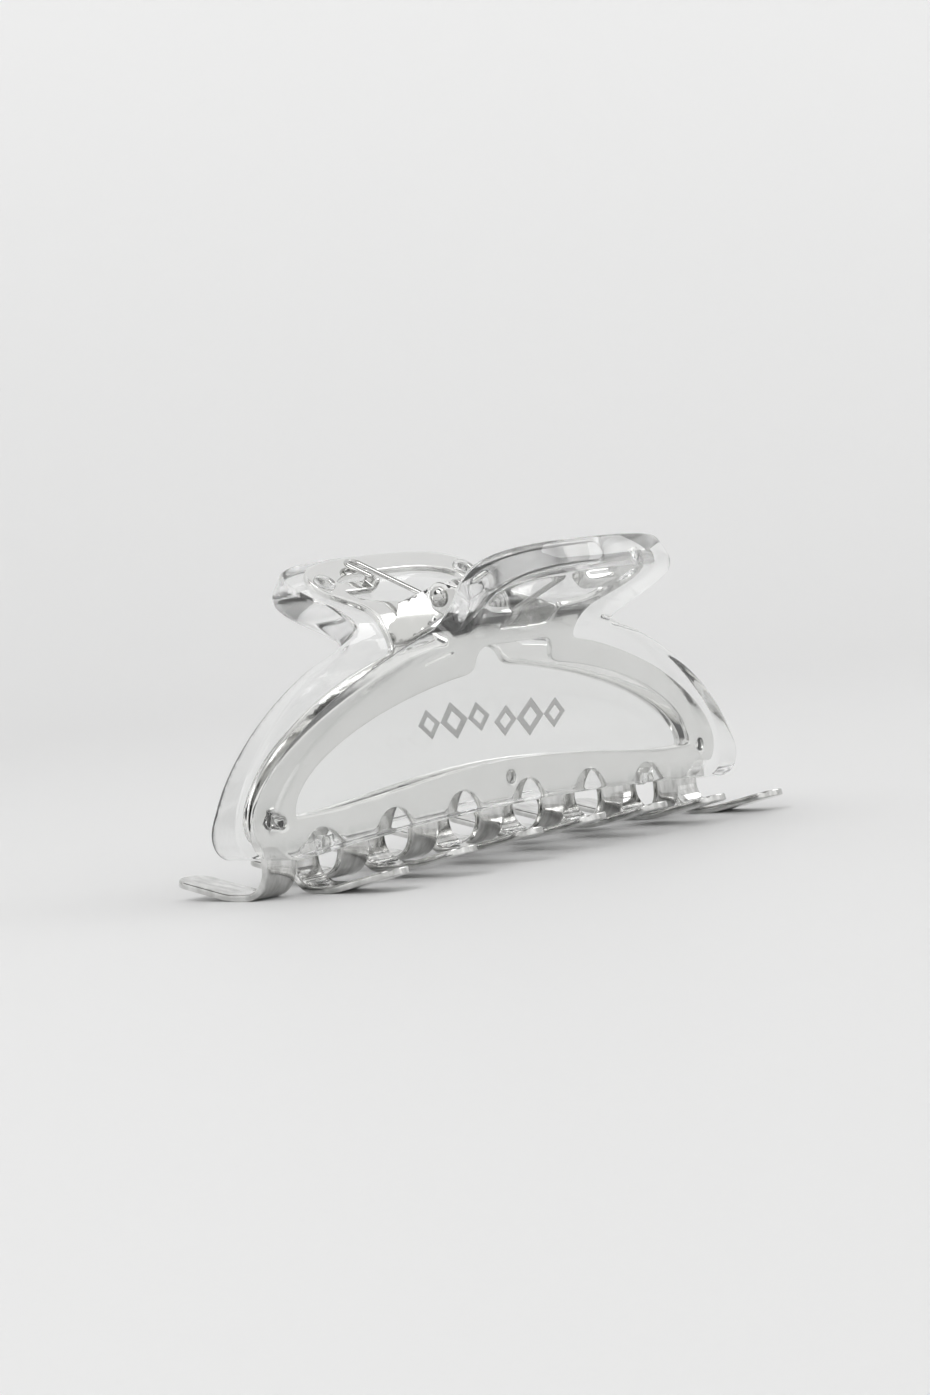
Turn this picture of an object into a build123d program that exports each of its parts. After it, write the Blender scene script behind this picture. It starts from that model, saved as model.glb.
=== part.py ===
from build123d import *
import os
from math import asin, cos, degrees, pi, radians, sin, tan

# Claw hair clip: two identical jaws hinged on one rivet pin, held shut by a torsion spring.
# Each jaw is a stamped steel frame with a thick clear plastic shell on its outer side.
# X runs along the jaws, Y through the clip (front jaw at -Y), Z up. Z = 0 is the surface
# that the end teeth stand on. All sizes in millimetres, angles in degrees.

# ---- driving dimensions -------------------------------------------------------------
sheet = 1.0                  # thickness of the stamped steel
slab = 5.0                   # thickness of the clear plastic shell
corner_z = 11.2              # height of the window's end corners above the table

plate_half_gap = 2.1         # mid-surface of a jaw plate to the middle plane, at X = 0
bow_radius = 862.0           # plan bow that brings the jaws together at their ends
bow_half_angle = 4.2         # half the turn about the bow's axis that holds a whole jaw
lean_start = corner_z - 1.0  # the plate is upright below this height
lean_radius = 63.6           # the plate leans outward above the window's end corners
lean_angle = 15.5            # lean reached at the top of the arch
neck_radius = 12.0           # bend from the arch into the handle
handle_angle = 55.6          # handle slope, measured from vertical
neck_z = corner_z + 19.0     # where that bend starts

window_half, window_rise, window_power = 43.6, 16.1, 1.76
bar_end = corner_z - 0.57    # the lower bar's upper edge, at the window's corners
bar_rise, bar_dip = 6.08, 3.28                          # its arch, and the flattening of it
bar_steps = 10
frame_half, frame_rise, frame_power = 50.2, 20.5, 1.65
shell_half, shell_rise, shell_power = 51.5, 25.5, 1.65
frame_base = corner_z - 0.4
shell_base = corner_z - 2.0
frame_foot = corner_z - 4.2  # lower edge of the frame's end pads
pad_corner, pad_lap = 3.2, 1.0
neck_half = 12.4             # half width of the steel neck
shell_neck_half = 16.8
notch_half, notch_top, notch_corner, notch_foot = 8.35, corner_z + 19.5, 2.4, 2.8
notch_flow = (0.6, 0.2, 0.8)                            # how the notch's foot leaves the arch
neck_lap = 2.5               # the neck strip starts this far below the notch's top
shell_heel_in, shell_heel_z, shell_sill_z = 5.5, corner_z - 5.9, corner_z - 3.9
shell_foot_flow = (1.2, 1.8, 0.3)                       # roundness of the shell's feet
shell_neck_z = corner_z + 15.0

ring_far, ring_half, ring_widest = 11.5, 17.6, 5.8      # handle outline, along its slope
hole_half, hole_rise, hole_centre, hole_power = 13.2, 4.0, 3.5, 2.8
wing_far, wing_half, wing_widest = 13.2, 20.6, 8.0      # clear wing outline
handle_low = -3.0            # handle outlines start this far down the slope
flank_pull, tip_drop, over_pull = 0.45, 0.6, 0.58       # fullness of their curves
relief_z, relief_height = corner_z + 22.6, 4.0   # cut-out that the lugs were folded from

tooth_count, tooth_pitch, tooth_width = 7, 14.2, 5.5
first_tooth_x = -46.15
tooth_bend, tooth_flat, tip_bend, tip_rise = 3.8, 2.0, 12.0, 12.0
tooth_reach = 16.4           # how far a tip stands out on the other side
tip_corner = 2.2
middle_tooth_lift = 1.6      # middle teeth end higher than the end ones
gap_radius, gap_top, gap_drop = 3.6, corner_z - 1.0, 2.2
comb_foot = 6.0              # tooth roots are cut from the plate down to here
root_lap, tip_spare = 1.5, 4.0                          # a tooth strip's overlap at each end
strip_half_angle = 0.35      # half width of a tooth strip, as a turn about the bow's axis
tooth_back, tooth_top = 8.0, 12.0                       # plan depth behind a tip, strip height

pin_z = corner_z + 25.9
pin_radius, pin_clearance = 0.8, 0.05
pin_head_radius, pin_head_rise, pin_head_gap = 1.45, 0.95, 0.1
lug_outer_face, lug_pair_gap = 7.4, 0.2
eye_radius = 2.2
fold_low = (5.8, corner_z + 21.3)
fold_high = (8.75, corner_z + 25.0)

wire_radius, coil_radius, coil_pitch, coil_turns = 0.4, 1.9, 1.03, 8
leg_slope = 25.7             # spring legs above horizontal
leg_length = 16.8
hook_radius, hook_return = 1.2, 4.2

tongue_end_x, tongue_slope_pos, tongue_width, lip_rise = 6.1, 4.3, 2.2, 1.3
tongue_lap = 1.5
stud_x, stud_slope_pos, stud_radius, stud_head, stud_head_rise = 15.3, 5.6, 1.0, 1.65, 0.9
end_stud_x, end_stud_z, bar_stud_z = 46.3, corner_z - 0.95, corner_z - 0.4
shell_floor = 2.0            # lower than every edge of the shell
pip_places = ((-39.05, corner_z - 4.5), (31.95, corner_z - 4.5))
pip_radius = 0.9

motif_z, motif_pitch, motif_depth = corner_z + 8.0, 5.5, 0.1
lozenge_sizes = (2.4, 3.0, 2.4)
lozenge_hole = 0.52          # opening of a lozenge, as a share of its size
far_away = 60.0              # half length of a cut that passes through the whole clip
handle_cut, stud_cut = 15.0, 4.0                        # the same, through one handle and its ring
overlap, spare = 0.02, 1.0   # small laps that let pieces of an outline meet cleanly

bow_axis = Axis((0, bow_radius - plate_half_gap, 0), (0, 0, 1))


# ---- side profile of a jaw ----------------------------------------------------------
def profile_points(out, foot, run):
    """Side profile (y, z) of the front jaw, `out` mm outside the plate's mid-surface."""
    a, b = radians(lean_angle), radians(handle_angle)
    low = (-(plate_half_gap + out), foot)
    knee = (-(plate_half_gap + out), lean_start)
    lean_c = (-(plate_half_gap + lean_radius), lean_start)
    r = lean_radius - out
    lean_mid = (lean_c[0] + r * cos(a / 2), lean_c[1] + r * sin(a / 2))
    lean_end = (lean_c[0] + r * cos(a), lean_c[1] + r * sin(a))
    length = (neck_z - (lean_c[1] + lean_radius * sin(a))) / cos(a)
    neck = (lean_end[0] - length * sin(a), lean_end[1] + length * cos(a))
    q = neck_radius - out
    neck_c = (neck[0] - q * cos(a), neck[1] - q * sin(a))
    m = (a + b) / 2
    neck_mid = (neck_c[0] + q * cos(m), neck_c[1] + q * sin(m))
    heel = (neck_c[0] + q * cos(b), neck_c[1] + q * sin(b))
    far = (heel[0] - run * sin(b), heel[1] + run * cos(b))
    return low, knee, lean_mid, lean_end, neck, neck_mid, heel, far


def profile_edges(points):
    low, knee, lean_mid, lean_end, neck, neck_mid, heel, far = points
    return [Line(low, knee), ThreePointArc(knee, lean_mid, lean_end), Line(lean_end, neck),
            ThreePointArc(neck, neck_mid, heel), Line(heel, far)]


def turned(shape):
    """The same shape for the other jaw, turned half a turn about the upright axis."""
    return shape.rotate(Axis.Z, 180)


def side_band(inner, outer, foot, run):
    """Closed side section between two offsets of the profile, as a face in the YZ plane."""
    a = profile_points(inner, foot, run)
    b = profile_points(outer, foot, run)
    edges = profile_edges(a) + profile_edges(b) + [Line(a[0], b[0]), Line(a[-1], b[-1])]
    return Plane.YZ * make_face(Wire(edges))


def bowed(face):
    """Sweep a side section round the bow axis, to both sides of X = 0."""
    start = face.rotate(bow_axis, -bow_half_angle)
    return revolve(start, bow_axis, 2 * bow_half_angle)


heel_point = profile_points(0, 0, 0)[6]
slope = radians(handle_angle)
handle_plane = Plane(origin=(0, *heel_point), x_dir=(1, 0, 0), z_dir=(0, -cos(slope), -sin(slope)))


def through(face):
    """A front view outline, cut through along Y."""
    return extrude(Plane.XZ * face, far_away, both=True)


def through_handle(face, depth=handle_cut):
    """An outline on the handle's slope, cut through square to it."""
    return extrude(handle_plane * face, depth, both=True)


# ---- outlines -----------------------------------------------------------------------
def superellipse(half, rise, power, centre_z, full=False, steps=8):
    """Curve |x/half|^power + |z/rise|^power = 1 above centre_z, or all round it."""
    def point(t):
        c, s = cos(t), sin(t)
        x = half * abs(c) ** (2 / power) * (1 if c > 0 else -1)
        z = rise * abs(s) ** (2 / power) * (1 if s > 0 else -1)
        return (x, centre_z + z)

    if full:
        return Spline([point(pi * (i + 0.5) / steps) for i in range(2 * steps)], periodic=True)
    return Spline([point(pi * i / (2 * steps)) for i in range(2 * steps + 1)])


def mirrored(right):
    """Close a right-hand outline, drawn upward from its foot, with its mirror image."""
    left = [curve.mirror(Plane.YZ) for curve in reversed(right)]
    foot = right[0] @ 0
    return make_face(Wire(right + left + [Line((-foot.X, foot.Y), foot)]))


def bar_top(x):
    """Height of the lower bar's upper edge at x: an arch, flattened in the middle."""
    u = (x / window_half) ** 2
    return bar_end + bar_rise * (1 - u) - bar_dip * (1 - u * u)


def window_face():
    arch = superellipse(window_half, window_rise, window_power, corner_z)
    xs = [window_half * (2 * i / bar_steps - 1) for i in range(1, bar_steps)]
    sill = [(x, bar_top(x)) for x in xs]
    ends = [(-window_half, bar_top(window_half)), (window_half, bar_top(window_half))]
    bottom = Spline([ends[0]] + sill + [ends[1]])
    left, right = Line(arch @ 1, ends[0]), Line(ends[1], arch @ 0)
    return make_face(Wire([arch, left, bottom, right]))


def arch_height(x):
    """Height of the window's arch at x."""
    return corner_z + window_rise * (1 - (abs(x) / window_half) ** window_power) ** (1 / window_power)


def notch_face():
    """Notch in the top of the arch, with flowing feet and rounded top corners."""
    foot_x = notch_half + notch_foot
    foot = (foot_x, arch_height(foot_x) - overlap)
    knee = (notch_half, notch_top - notch_corner)
    top = (notch_half - notch_corner, notch_top)
    out, low, high = notch_flow
    side = Bezier(foot, (notch_half + out, foot[1] + low), (notch_half, foot[1] + high), knee)
    return mirrored([side, RadiusArc(knee, top, -notch_corner), Line(top, (0, notch_top))])


def gap_face(x):
    """Arched gap between two tooth roots, where a tooth of the other jaw passes."""
    top = gap_top - gap_drop * (x / first_tooth_x) ** 2
    side = tooth_pitch - tooth_width
    foot = Line((x - side / 2, comb_foot - spare), (x + side / 2, comb_foot - spare))
    shoulder = Line((x - side / 2, comb_foot), (x + side / 2, comb_foot))
    circle = CenterArc((x, top - gap_radius), gap_radius, 0, 360)
    return make_face(make_hull([circle.edge(), foot.edge(), shoulder.edge()]))


def tooth_xs():
    return [first_tooth_x + tooth_pitch * i for i in range(tooth_count)]


def arch_outline():
    """Front view of the steel frame up to its neck, with its comb of tooth roots."""
    arch = superellipse(frame_half, frame_rise, frame_power, frame_base)
    face = make_face(Wire([arch, Line(arch @ 1, arch @ 0)]))
    pad_height = frame_base + pad_lap - frame_foot
    pads = Pos(0, frame_foot + pad_height / 2) * Rectangle(2 * frame_half, pad_height)
    pads = fillet(pads.vertices().group_by(Axis.Y)[0], pad_corner)
    comb_left = first_tooth_x - tooth_width / 2
    comb_right = -first_tooth_x
    comb = Rectangle(comb_right - comb_left, frame_base - comb_foot)
    comb = Pos((comb_left + comb_right) / 2, (comb_foot + frame_base) / 2) * comb
    face = face + pads + comb
    for x in tooth_xs():
        face = face - gap_face(x + tooth_pitch / 2)
    return face - window_face() - notch_face()


def neck_outline(half, foot_z, top_z):
    """Front view of a straight neck strip."""
    return Pos(0, (foot_z + top_z) / 2) * Rectangle(2 * half, top_z - foot_z)


def handle_outline(neck, widest_x, widest_s, far_s):
    """Outline on the handle's slope: neck edge, flowing out to the tip and over the far edge."""
    tip = (widest_x, widest_s)
    pull = flank_pull * (widest_s - handle_low)
    flank = Bezier((neck, handle_low), (neck, handle_low + pull), (widest_x, widest_s - pull), tip)
    over = Bezier(tip, (widest_x, far_s - tip_drop), (over_pull * widest_x, far_s), (0, far_s))
    return mirrored([flank, over])


# ---- steel frame --------------------------------------------------------------------
def tooth_section(lift):
    """Side section of one tooth, tangent to the plate and curling under the other jaw."""
    turn = radians(tip_rise)
    root_z = comb_foot + root_lap
    mid = 1.25 * pi          # half way round the quarter turn from the plate to the tooth's flat

    def run(out):
        y0 = -(plate_half_gap + out)
        bend = tooth_bend + out
        cy, cz = -plate_half_gap + tooth_bend, lift + sheet / 2 + tooth_bend
        arc_mid = (cy + bend * cos(mid), cz + bend * sin(mid))
        flat = (cy, cz - bend)
        flat_end = (cy + tooth_flat, cz - bend)
        rise = tip_bend + out
        ry, rz = cy + tooth_flat, lift + sheet / 2 + tip_bend
        rise_mid = (ry + rise * sin(turn / 2), rz - rise * cos(turn / 2))
        rise_end = (ry + rise * sin(turn), rz - rise * cos(turn))
        far = tooth_reach + tip_spare - rise_end[0]
        tip = (rise_end[0] + far, rise_end[1] + far * tan(turn))
        edges = [Line((y0, root_z), (y0, cz)), ThreePointArc((y0, cz), arc_mid, flat),
                 Line(flat, flat_end), ThreePointArc(flat_end, rise_mid, rise_end),
                 Line(rise_end, tip)]
        return (y0, root_z), edges, tip

    root_a, edges_a, tip_a = run(-sheet / 2)
    root_b, edges_b, tip_b = run(sheet / 2)
    edges = edges_a + edges_b + [Line(root_a, root_b), Line(tip_a, tip_b)]
    return Plane.YZ * make_face(Wire(edges))


def tooth(index):
    """One curled tooth, bent from the plate, with rounded tip corners."""
    x = tooth_xs()[index]
    place = (index - (tooth_count - 1) / 2) / ((tooth_count - 1) / 2)
    lift = middle_tooth_lift * (1 - place ** 2)
    turn = degrees(asin(x / bow_radius))
    start = tooth_section(lift).rotate(bow_axis, turn - strip_half_angle)
    strip = revolve(start, bow_axis, 2 * strip_half_angle)
    depth = tooth_reach + tooth_back
    plan = Pos(x, tooth_reach - depth / 2) * Rectangle(tooth_width, depth)
    plan = fillet(plan.vertices().group_by(Axis.Y)[-1], tip_corner)
    return strip & extrude(plan, tooth_top)


def lug(face_x, width_sign):
    """One folded lug: from its fold on the neck to a round eye on the pin."""
    eye = CenterArc((0, pin_z), eye_radius, 0, 360)
    fold = Line((-fold_low[0], fold_low[1]), (-fold_high[0], fold_high[1]))
    face = make_face(make_hull([eye.edge(), fold.edge()]))
    face = face - Pos(0, pin_z) * Circle(pin_radius + pin_clearance)
    return extrude(Pos(face_x, 0, 0) * (Plane.YZ * face), width_sign * sheet)


def tongue():
    """Spring tongue: reaches into the handle opening, with its end turned up as a lip."""
    length = hole_half + tongue_lap - tongue_end_x
    strip = Pos(tongue_end_x + length / 2, tongue_slope_pos) * Rectangle(length, tongue_width)
    end = Pos(tongue_end_x + sheet / 2, tongue_slope_pos) * Rectangle(sheet, tongue_width)
    flat = bowed(side_band(-sheet / 2, sheet / 2, comb_foot, ring_far))
    raised = bowed(side_band(-sheet / 2 - lip_rise, sheet / 2, comb_foot, ring_far))
    return (flat & through_handle(strip)) + (raised & through_handle(end))


def stud_places():
    """Front view places of the shell's studs on the plate."""
    return [(-end_stud_x, end_stud_z), (0.0, bar_stud_z), (end_stud_x, end_stud_z)]


def build_frame():
    """The stamping: arch, comb of teeth, neck, ring handle with its tongue, two lugs."""
    inner, outer = -sheet / 2, sheet / 2
    arch = bowed(side_band(inner, outer, comb_foot, spare)) & through(arch_outline())
    upper = bowed(side_band(inner, outer, comb_foot, ring_far + spare))
    neck = neck_outline(neck_half, notch_top - neck_lap, heel_point[1]) - notch_face()
    relief_half = lug_outer_face - 2 * sheet - lug_pair_gap
    relief = Pos(0, relief_z + relief_height / 2) * Rectangle(2 * relief_half, relief_height)
    ring = handle_outline(neck_half, ring_half, ring_widest, ring_far)
    hole = make_face(Wire([superellipse(hole_half, hole_rise, hole_power, hole_centre, full=True)]))
    keep_low = Pos(0, 0, heel_point[1] / 2) * Box(4 * far_away, 4 * far_away, heel_point[1])
    low = upper & through(neck) & keep_low
    high = upper & through_handle(ring)
    high = high - through_handle(hole)
    frame = arch + low + high
    for i in range(tooth_count):
        frame = frame + tooth(i)
    frame = frame - through(relief)
    inner_face = lug_outer_face - sheet - lug_pair_gap
    frame = frame + lug(-lug_outer_face, 1) + lug(inner_face, -1) + tongue()
    for x, z in stud_places():
        frame = frame - through(Pos(x, z) * Circle(stud_radius))
    for side in (-1, 1):
        frame = frame - through_handle(Pos(side * stud_x, stud_slope_pos) * Circle(stud_radius), stud_cut)
    return frame.clean()


# ---- clear shell --------------------------------------------------------------------
def shell_outline():
    """Front view of the clear shell below its neck: arch, rounded feet, gently arched sill."""
    arch = superellipse(shell_half, shell_rise, shell_power, shell_base)
    x, z = shell_half - shell_heel_in, shell_heel_z
    pull_z = (4 * shell_sill_z - z) / 3
    sill = Bezier((x, z), (x / 3, pull_z), (-x / 3, pull_z), (-x, z))
    up, across, down = shell_foot_flow
    foot = Bezier((shell_half, shell_base), (shell_half, z + up), (shell_half - across, z - down), (x, z))
    return make_face(Wire([arch, foot, sill, foot.mirror(Plane.YZ)]))


def build_shell():
    """Clear slab and wing, with studs that fill the frame's holes and heads over the ring."""
    inner, outer = sheet / 2, sheet / 2 + slab
    body = bowed(side_band(inner, outer, shell_floor, wing_far + spare))
    neck = neck_outline(shell_neck_half, shell_neck_z, heel_point[1] - spare)
    wing = handle_outline(shell_neck_half, wing_half, wing_widest, wing_far)
    shell = (body & through(shell_outline())) + (body & through(neck)) + (body & through_handle(wing))
    plate_band = bowed(side_band(-sheet / 2, sheet, shell_floor, spare))
    for x, z in stud_places():
        shell = shell + (plate_band & through(Pos(x, z) * Circle(stud_radius)))
    shank_band = bowed(side_band(-sheet / 2 - stud_head_rise / 2, sheet, shell_floor, ring_far))
    head_band = bowed(side_band(-sheet / 2 - stud_head_rise, -sheet / 2, shell_floor, ring_far))
    for side in (-1, 1):
        spot = Pos(side * stud_x, stud_slope_pos)
        shank = shank_band & through_handle(spot * Circle(stud_radius))
        head = head_band & through_handle(spot * Circle(stud_head))
        shell = shell + shank + head
    for x, z in pip_places:
        shell = shell + (plate_band & through(Pos(x, z) * Circle(pip_radius)))
    return shell.clean()


def build_motif():
    """Generic printed ornament: a row of three open lozenges on the shell's outer face."""
    face_out = sheet / 2 + slab
    skin = bowed(side_band(face_out, face_out + motif_depth, shell_floor, spare))
    solids = []
    for index, size in enumerate(lozenge_sizes):
        ring = RegularPolygon(size, 4) - RegularPolygon(size * lozenge_hole, 4)
        spot = Pos((index - 1) * motif_pitch, motif_z) * ring
        solids += (skin & through(spot)).solids()
    return Compound(solids)


# ---- hinge --------------------------------------------------------------------------
def build_pin():
    """Rivet pin through the four lugs, with a domed head at each end."""
    reach = lug_outer_face + pin_head_gap
    ball = (pin_head_radius ** 2 + pin_head_rise ** 2) / (2 * pin_head_rise)
    half_turn = asin(pin_head_radius / ball) / 2
    head_mid = (ball * sin(half_turn), reach + pin_head_rise - ball * (1 - cos(half_turn)))
    half = [Line((0, -reach - pin_head_rise), (0, reach + pin_head_rise)),
            ThreePointArc((0, reach + pin_head_rise), head_mid, (pin_head_radius, reach)),
            Line((pin_head_radius, reach), (pin_radius, reach)),
            Line((pin_radius, reach), (pin_radius, -reach)),
            Line((pin_radius, -reach), (pin_head_radius, -reach)),
            ThreePointArc((pin_head_radius, -reach), (head_mid[0], -head_mid[1]),
                          (0, -reach - pin_head_rise))]
    upright = revolve(Plane.XZ * make_face(Wire(half)), Axis.Z)
    return Pos(0, 0, pin_z) * (Rot(0, 90, 0) * upright)


def build_spring():
    """Torsion spring: eight loops over the pin and two straight legs, each hooked over a tongue."""
    wrap = coil_turns + (180.0 - 2 * (90.0 - leg_slope)) / 360.0
    length = wrap * coil_pitch
    first = radians(leg_slope - 90.0)
    start = Plane(origin=(-length / 2, 0, pin_z), x_dir=(0, cos(first), sin(first)), z_dir=(1, 0, 0))
    helix = start * Helix(coil_pitch, length, coil_radius, lefthand=True)
    section = Circle(wire_radius)
    coil = sweep(Plane(origin=helix @ 0, z_dir=helix % 0) * section, path=helix, is_frenet=True)
    leg_start = helix @ 0
    along = (helix % 0) * -1
    leg_end = leg_start + along * leg_length
    side = Vector(-1, 0, 0)
    normal = along.cross(side).normalized()
    side = normal.cross(along).normalized()
    turn_top = leg_end + side * hook_radius + along * hook_radius
    turn_end = leg_end + side * (2 * hook_radius)
    tail = turn_end - along * hook_return
    hook = Edge.make_three_point_arc(leg_end, turn_top, turn_end)
    route = Wire([Edge.make_line(leg_start, leg_end), hook, Edge.make_line(turn_end, tail)])
    leg = sweep(Plane(origin=leg_start, z_dir=along) * section, path=route)
    return coil + leg + turned(leg)


# ---- write the parts ----------------------------------------------------------------
def save(name, shape):
    export_step(shape, f"parts/{name}.step")


if __name__ == "__main__":
    os.makedirs("parts", exist_ok=True)
    for name, shape in (("frame", build_frame()), ("shell", build_shell()), ("motif", build_motif())):
        save(f"front_{name}", shape)
        save(f"rear_{name}", turned(shape))
    save("hinge_pin", build_pin())
    save("torsion_spring", build_spring())
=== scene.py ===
from math import acos, atan2, cos, pi, radians, sin, sqrt

import bmesh
import bpy
import numpy as np
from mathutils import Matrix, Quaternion, Vector
from mathutils.geometry import delaunay_2d_cdt


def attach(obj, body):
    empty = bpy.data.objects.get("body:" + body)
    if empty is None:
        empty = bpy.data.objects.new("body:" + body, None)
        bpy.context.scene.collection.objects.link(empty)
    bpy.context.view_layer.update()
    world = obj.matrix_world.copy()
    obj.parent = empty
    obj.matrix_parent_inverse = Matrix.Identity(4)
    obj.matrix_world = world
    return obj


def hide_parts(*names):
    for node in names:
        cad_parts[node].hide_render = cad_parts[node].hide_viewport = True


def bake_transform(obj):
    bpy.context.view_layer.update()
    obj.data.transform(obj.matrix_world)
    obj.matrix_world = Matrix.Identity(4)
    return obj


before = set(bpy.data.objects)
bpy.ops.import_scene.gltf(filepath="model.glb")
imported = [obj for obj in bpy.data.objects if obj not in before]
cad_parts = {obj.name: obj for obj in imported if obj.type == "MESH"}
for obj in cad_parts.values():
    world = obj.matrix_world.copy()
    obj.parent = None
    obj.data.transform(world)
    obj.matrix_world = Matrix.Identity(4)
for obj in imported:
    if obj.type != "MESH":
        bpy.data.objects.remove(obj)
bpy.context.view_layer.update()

# A claw hair clip: two equal jaws, each a stamped steel frame with a clear shell on its outer
# side. Shapes are worked out in millimetres and written to meshes in metres. The front jaw is at
# -Y, and the rear jaw is the same jaw turned half a turn about Z.
MM = 0.001

# ---- sizes of the clip --------------------------------------------------------------
sheet = 1.0                    # steel thickness
slab = 5.0                     # clear shell thickness
half_gap = 2.1                 # plate mid-surface to the middle plane, at x = 0
bow_radius = 862.0             # plan bow of the jaws
corner_z = 11.2                # the window's end corners
lean_start = corner_z - 1.0    # the plate is upright below this
lean_radius, lean = 63.6, radians(15.5)
neck_z, neck_radius, slope = corner_z + 19.0, 12.0, radians(55.6)

window = (43.6, 16.1, 1.76)    # superellipse half width, rise, power
steel_arch = (50.2, 20.5, 1.65)
shell_arch = (51.5, 25.5, 1.65)
steel_base, shell_base = corner_z - 0.4, corner_z - 2.0
neck_half, shell_neck_half = 12.4, 16.8
bar_end, bar_rise, bar_dip = corner_z - 0.57, 6.08, 3.28     # the lower bar's upper edge
notch_half, notch_top, notch_corner, notch_foot = 8.35, corner_z + 19.5, 2.4, 2.8
notch_flow = (0.6, 0.2, 0.8)   # how the notch's foot leaves the window's arch
heel_in, heel_z, sill_z = 5.5, corner_z - 5.9, corner_z - 3.9
foot_flow = (1.2, 1.8, 0.3)    # roundness of the shell's feet

ring_tip, ring_far = (17.6, 5.8), 11.5
wing_tip, wing_far = (20.6, 8.0), 13.2
handle_low = -3.0              # handle outlines start this far down the slope
flank_pull, tip_drop, over_pull = 0.45, 0.6, 0.58            # fullness of their curves
hole = (13.2, 4.0, 2.8)
hole_centre = 3.5
relief_z = corner_z + 22.6     # cut-out that the lugs were folded from

teeth, pitch, tooth_width, first_tooth = 7, 14.2, 5.5, -46.15
tooth_bend, tooth_flat, tip_bend, tip_rise = 3.8, 2.0, 12.0, radians(12.0)
tooth_reach, middle_lift = 16.4, 1.6
teeth_below = corner_z - 4     # under this height a jaw is only teeth
root_z, crown_radius, gap_top, gap_drop = 6.0, 3.6, corner_z - 1.0, 2.2
tip_corner, pad_corner, pad_foot = 2.2, 3.2, corner_z - 4.2

pin_z = corner_z + 25.9
pin_radius, head_radius, head_rise = 0.8, 1.45, 0.95
lug_face, lug_gap, eye_radius, eye_hole = 7.4, 0.2, 2.2, 0.86
fold_low, fold_high = (-5.9, corner_z + 21.15), (-8.95, corner_z + 25.1)

wire, coil_radius, coil_pitch, coil_turns = 0.4, 1.9, 1.03, 8
leg_slope, leg_length, hook_radius, hook_return = radians(25.7), 16.8, 1.2, 4.2


# ---- the bent surface ---------------------------------------------------------------
lean_top = lean_start + lean_radius * lean
lean_end = (-half_gap - lean_radius * (1 - cos(lean)), lean_start + lean_radius * sin(lean))
straight = (neck_z - lean_end[1]) / cos(lean)
neck_v = lean_top + straight
neck_point = (lean_end[0] - straight * sin(lean), neck_z)
heel_v = neck_v + neck_radius * (slope - lean)
neck_centre = (neck_point[0] - neck_radius * cos(lean), neck_point[1] - neck_radius * sin(lean))
heel = (neck_centre[0] + neck_radius * cos(slope), neck_centre[1] + neck_radius * sin(slope))


def plate_line(v):
    """Mid-surface (y, z, lean angle) at the height v of the flat pattern."""
    if v <= lean_start:
        return -half_gap, v, 0.0
    if v <= lean_top:
        a = (v - lean_start) / lean_radius
        return -half_gap - lean_radius * (1 - cos(a)), lean_start + lean_radius * sin(a), a
    if v <= neck_v:
        d = v - lean_top
        return lean_end[0] - d * sin(lean), lean_end[1] + d * cos(lean), lean
    if v <= heel_v:
        a = lean + (v - neck_v) / neck_radius
        return neck_centre[0] + neck_radius * cos(a), neck_centre[1] + neck_radius * sin(a), a
    d = v - heel_v
    return heel[0] - d * sin(slope), heel[1] + d * cos(slope), slope


def tooth_line(v, lift):
    """The same for a tooth, which curls under the other jaw and rises to its tip."""
    bend_z = lift + sheet / 2 + tooth_bend
    if v >= bend_z:
        return -half_gap, v, 0.0
    d = bend_z - v
    centre_y = -half_gap + tooth_bend
    quarter = tooth_bend * pi / 2
    if d <= quarter:
        a = d / tooth_bend
        return centre_y - tooth_bend * cos(a), bend_z - tooth_bend * sin(a), a
    d -= quarter
    if d <= tooth_flat:
        return centre_y + d, bend_z - tooth_bend, pi / 2
    d -= tooth_flat
    rise_y, rise_z = centre_y + tooth_flat, bend_z - tooth_bend + tip_bend
    a = min(d / tip_bend, tip_rise)
    d -= tip_bend * a
    y = rise_y + tip_bend * sin(a) + d * cos(a)
    z = rise_z - tip_bend * cos(a) + d * sin(a)
    return y, z, pi / 2 + a


def tooth_x(index):
    return first_tooth + pitch * index


def tooth_lift(index):
    middle = (teeth - 1) / 2
    return middle_lift * (1 - ((index - middle) / middle) ** 2)


def bowed(x, y, z):
    """Put a point of the side profile at x on the bowed jaw."""
    axis_y = bow_radius - half_gap
    return x, axis_y - sqrt((axis_y - y) ** 2 - x * x), z


def jaw_point(x, v, out):
    """Point of the flat pattern (x, v), `out` mm outside the steel's mid-surface."""
    if v < teeth_below:
        index = min(max(round((x - first_tooth) / pitch), 0), teeth - 1)
        y, z, a = tooth_line(v, tooth_lift(index))
    else:
        y, z, a = plate_line(v)
    return bowed(x, y - out * cos(a), z - out * sin(a))


def flat(z, out=0.0):
    """Flat pattern height of a point that is at height z, `out` mm outside the mid-surface."""
    low, high = min(z, lean_start) - 1.0, heel_v + wing_far
    halvings = 40
    for _ in range(halvings):
        v = (low + high) / 2
        _, at, a = plate_line(v)
        if at - out * sin(a) < z:
            low = v
        else:
            high = v
    return (low + high) / 2


# ---- outlines -----------------------------------------------------------------------
def arch(shape, base, start=0.0, stop=pi, count=90):
    """Points of a superellipse above base, from its right end over to its left end."""
    half, rise, power = shape
    points = []
    for i in range(count + 1):
        t = start + (stop - start) * i / count
        c, s = cos(t), sin(t)
        x = half * abs(c) ** (2 / power) * (1 if c > 0 else -1)
        z = base + rise * abs(s) ** (2 / power) * (1 if s > 0 else -1)
        points.append((x, z))
    return points


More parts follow.
